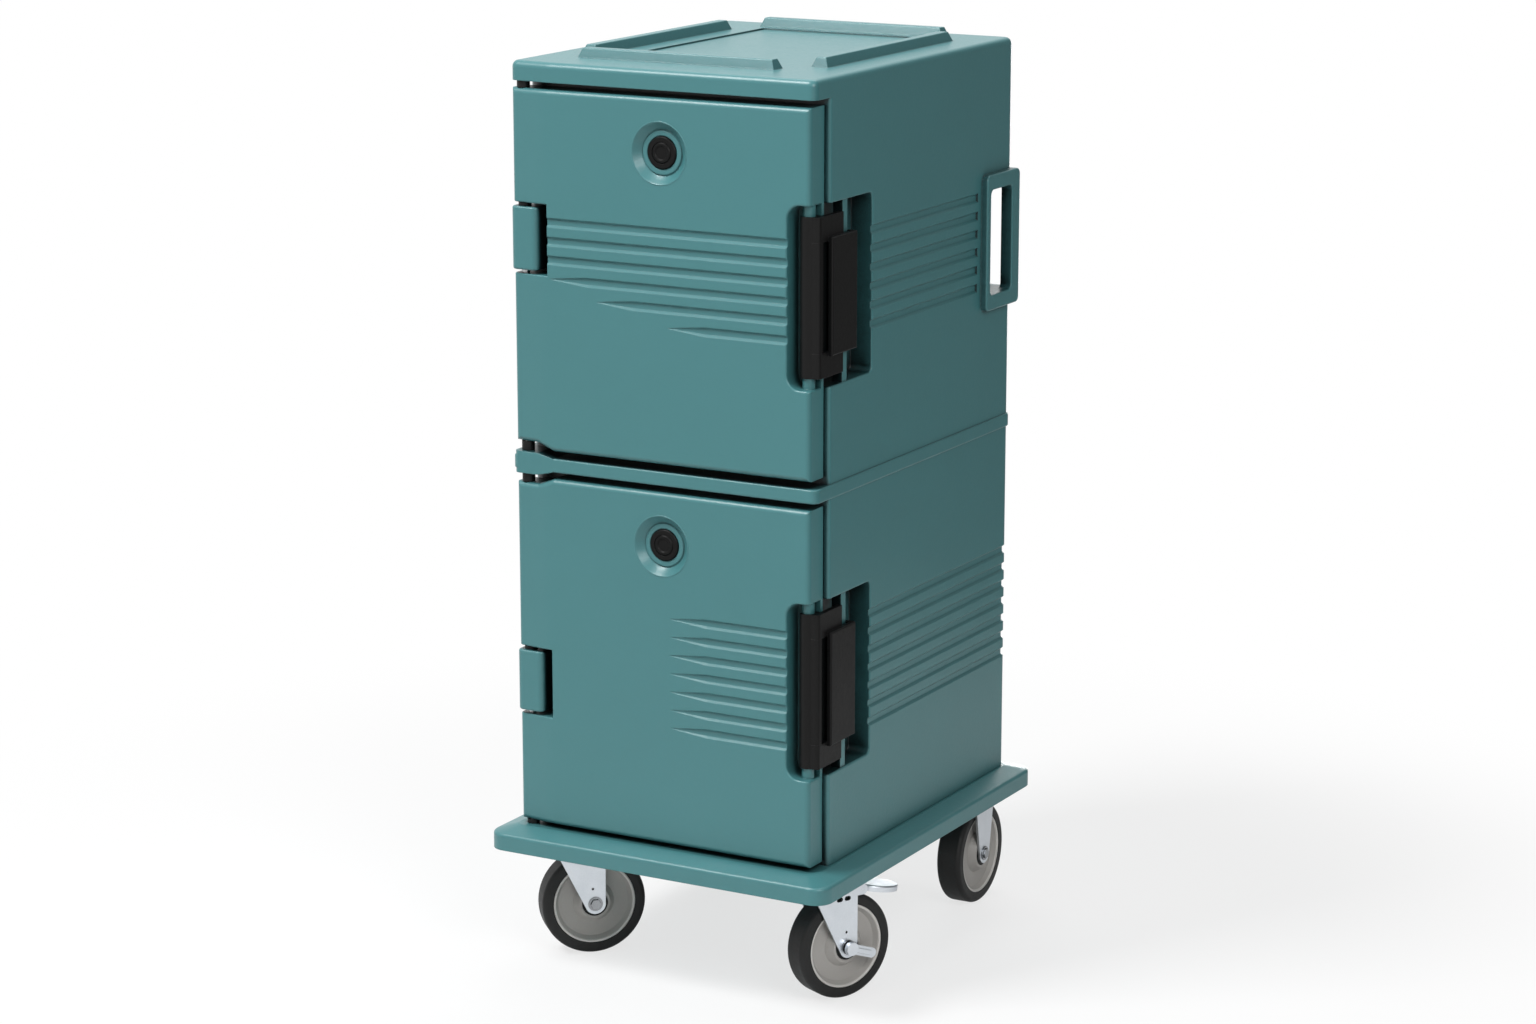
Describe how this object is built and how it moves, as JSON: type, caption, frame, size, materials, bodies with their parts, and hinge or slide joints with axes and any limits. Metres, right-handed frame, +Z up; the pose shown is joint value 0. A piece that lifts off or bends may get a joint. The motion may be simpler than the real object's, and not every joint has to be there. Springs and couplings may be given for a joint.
{
  "type": "insulated transport cart",
  "caption": "Tall insulated cart that carries food pans behind stacked hinged doors, with recessed pull latches, vent plugs, grab handles and braked casters.",
  "frame": {"origin": "on the floor under the middle of the base", "axes": "+Z up, doors face -Y, hinges on the -X side"},
  "size_m": [0.5726, 0.713, 1.3758],
  "materials": {
    "body_plastic": "fine grained",
    "liner_plastic": "smooth satin",
    "foam": "foamed",
    "seal_rubber": "matte",
    "latch_nylon": "fine grained",
    "vent_plastic": "satin",
    "pin_steel": "turned",
    "zinc_steel": "zinc plated",
    "bearing_nylon": "smooth",
    "wheel_bush": "smooth",
    "tyre_rubber": "matte tread",
    "wheel_core": "moulded"
  },
  "bodies": {
    "cart": {"outer_shell": "body_plastic", "body_insulation": "foam", "upper_liner": "liner_plastic", "lower_liner": "liner_plastic", "upper_pan_rails": "liner_plastic", "lower_pan_rails": "liner_plastic", "base": "body_plastic", "upper_hinge_pin": "pin_steel", "lower_hinge_pin": "pin_steel", "upper_hinge_spacers": "bearing_nylon", "lower_hinge_spacers": "bearing_nylon", "caster_bolts": "zinc_steel", "front_left_top_plate": "zinc_steel", "front_left_kingpin": "pin_steel", "front_right_top_plate": "zinc_steel", "front_right_kingpin": "pin_steel", "rear_left_bracket": "zinc_steel", "rear_left_axle": "pin_steel", "rear_right_bracket": "zinc_steel", "rear_right_axle": "pin_steel"},
    "upper_door": {"upper_door_shell": "body_plastic", "upper_door_panel": "liner_plastic", "upper_door_insulation": "foam", "upper_door_gasket": "seal_rubber", "upper_vent_body": "vent_plastic"},
    "upper_vent": {"upper_vent_plug": "vent_plastic"},
    "upper_pull": {"upper_latch": "latch_nylon"},
    "lower_door": {"lower_door_shell": "body_plastic", "lower_door_panel": "liner_plastic", "lower_door_insulation": "foam", "lower_door_gasket": "seal_rubber", "lower_vent_body": "vent_plastic"},
    "lower_vent": {"lower_vent_plug": "vent_plastic"},
    "lower_pull": {"lower_latch": "latch_nylon"},
    "front_left_swivel": {"front_left_fork": "zinc_steel", "front_left_swivel_bearing": "zinc_steel", "front_left_axle": "pin_steel"},
    "front_left_brake": {"front_left_brake_pedal": "zinc_steel"},
    "front_right_swivel": {"front_right_fork": "zinc_steel", "front_right_swivel_bearing": "zinc_steel", "front_right_axle": "pin_steel"},
    "front_right_brake": {"front_right_brake_pedal": "zinc_steel"},
    "front_left_wheel": {"front_left_tyre": "tyre_rubber", "front_left_wheel_core": "wheel_core", "front_left_wheel_bearing": "wheel_bush"},
    "front_right_wheel": {"front_right_tyre": "tyre_rubber", "front_right_wheel_core": "wheel_core", "front_right_wheel_bearing": "wheel_bush"},
    "rear_left_wheel": {"rear_left_tyre": "tyre_rubber", "rear_left_wheel_core": "wheel_core", "rear_left_wheel_bearing": "wheel_bush"},
    "rear_right_wheel": {"rear_right_tyre": "tyre_rubber", "rear_right_wheel_core": "wheel_core", "rear_right_wheel_bearing": "wheel_bush"},
    "front_right_lever": {"front_right_lock_lever": "zinc_steel"}
  },
  "joints": [
    {"name": "upper_door_swing", "type": "hinge", "parent": "cart", "child": "upper_door", "pos_m": [-0.234, -0.299, 0.7963], "axis": [0, 0, -1], "range_deg": [0, 225]},
    {"name": "upper_latch_swing", "type": "hinge", "parent": "upper_door", "child": "upper_pull", "pos_m": [0.2295, -0.294, 1.0563], "axis": [0, 0, -1], "range_deg": [0, 110]},
    {"name": "upper_vent_pull", "type": "slide", "parent": "upper_door", "child": "upper_vent", "axis": [0, -1, 0], "range_m": [0, 0.006]},
    {"name": "lower_door_swing", "type": "hinge", "parent": "cart", "child": "lower_door", "pos_m": [-0.234, -0.299, 0.2283], "axis": [0, 0, -1], "range_deg": [0, 225]},
    {"name": "lower_latch_swing", "type": "hinge", "parent": "lower_door", "child": "lower_pull", "pos_m": [0.2295, -0.294, 0.4883], "axis": [0, 0, -1], "range_deg": [0, 110]},
    {"name": "lower_vent_pull", "type": "slide", "parent": "lower_door", "child": "lower_vent", "axis": [0, -1, 0], "range_m": [0, 0.006]},
    {"name": "front_left_swivel", "type": "hinge", "parent": "cart", "child": "front_left_swivel", "pos_m": [-0.215, -0.229, 0.1688], "axis": [0, 0, 1], "continuous": true},
    {"name": "front_left_roll", "type": "hinge", "parent": "front_left_swivel", "child": "front_left_wheel", "pos_m": [-0.19154, -0.20579, 0.08], "axis": [0.7034, -0.7108, 0], "continuous": true},
    {"name": "front_left_brake_press", "type": "hinge", "parent": "front_left_swivel", "child": "front_left_brake", "pos_m": [-0.17306, -0.1875, 0.1646], "axis": [-0.7034, 0.7108, 0], "range_deg": [0, 14]},
    {"name": "front_right_swivel", "type": "hinge", "parent": "cart", "child": "front_right_swivel", "pos_m": [0.215, -0.229, 0.1688], "axis": [0, 0, 1], "continuous": true},
    {"name": "front_right_roll", "type": "hinge", "parent": "front_right_swivel", "child": "front_right_wheel", "pos_m": [0.22972, -0.19947, 0.08], "axis": [0.8949, -0.4462, 0], "continuous": true},
    {"name": "front_right_brake_press", "type": "hinge", "parent": "front_right_swivel", "child": "front_right_brake", "pos_m": [0.24133, -0.1762, 0.1646], "axis": [-0.8949, 0.4462, 0], "range_deg": [0, 14]},
    {"name": "front_right_lever_turn", "type": "hinge", "parent": "front_right_swivel", "child": "front_right_lever", "pos_m": [0.22972, -0.19947, 0.08], "axis": [0.8949, -0.4462, 0], "range_deg": [0, 90]},
    {"name": "rear_left_roll", "type": "hinge", "parent": "cart", "child": "rear_left_wheel", "pos_m": [-0.207, 0.284, 0.08], "axis": [1, 0, 0], "continuous": true},
    {"name": "rear_right_roll", "type": "hinge", "parent": "cart", "child": "rear_right_wheel", "pos_m": [0.207, 0.284, 0.08], "axis": [1, 0, 0], "continuous": true}
  ]
}
